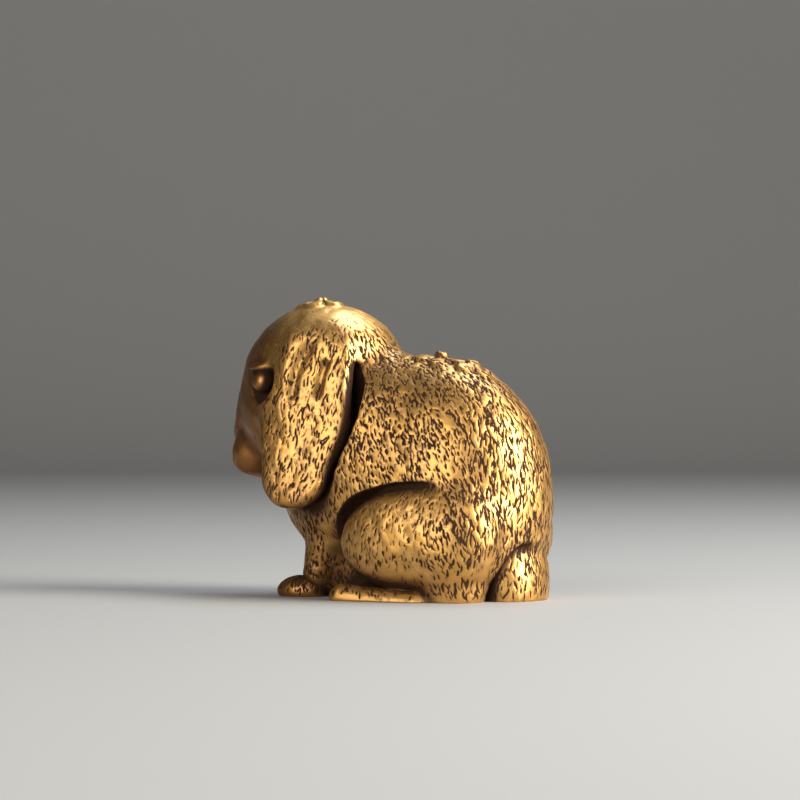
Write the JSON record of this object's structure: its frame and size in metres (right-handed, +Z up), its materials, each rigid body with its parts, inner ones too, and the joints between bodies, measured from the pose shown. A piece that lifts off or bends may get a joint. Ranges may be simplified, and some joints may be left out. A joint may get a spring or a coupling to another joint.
{
  "type": "rabbit figurine",
  "caption": "Small solid cast brass rabbit, seated, with long hanging ears, incised fur and low blossoms on crown and back; stands on a flat underside.",
  "frame": {"origin": "centre of the footprint at the bottom of the figure, on the surface that it stands on", "axes": "-X is the way the nose points, +X is the tail, -Y and +Y are the two flanks, +Z is up"},
  "size_m": [0.037, 0.0224, 0.032],
  "materials": {
    "brass": "worn bright on the high parts, with a dark brown patina in the fur marks and grooves"
  },
  "bodies": {
    "root": {"rabbit": "brass"}
  },
  "joints": []
}
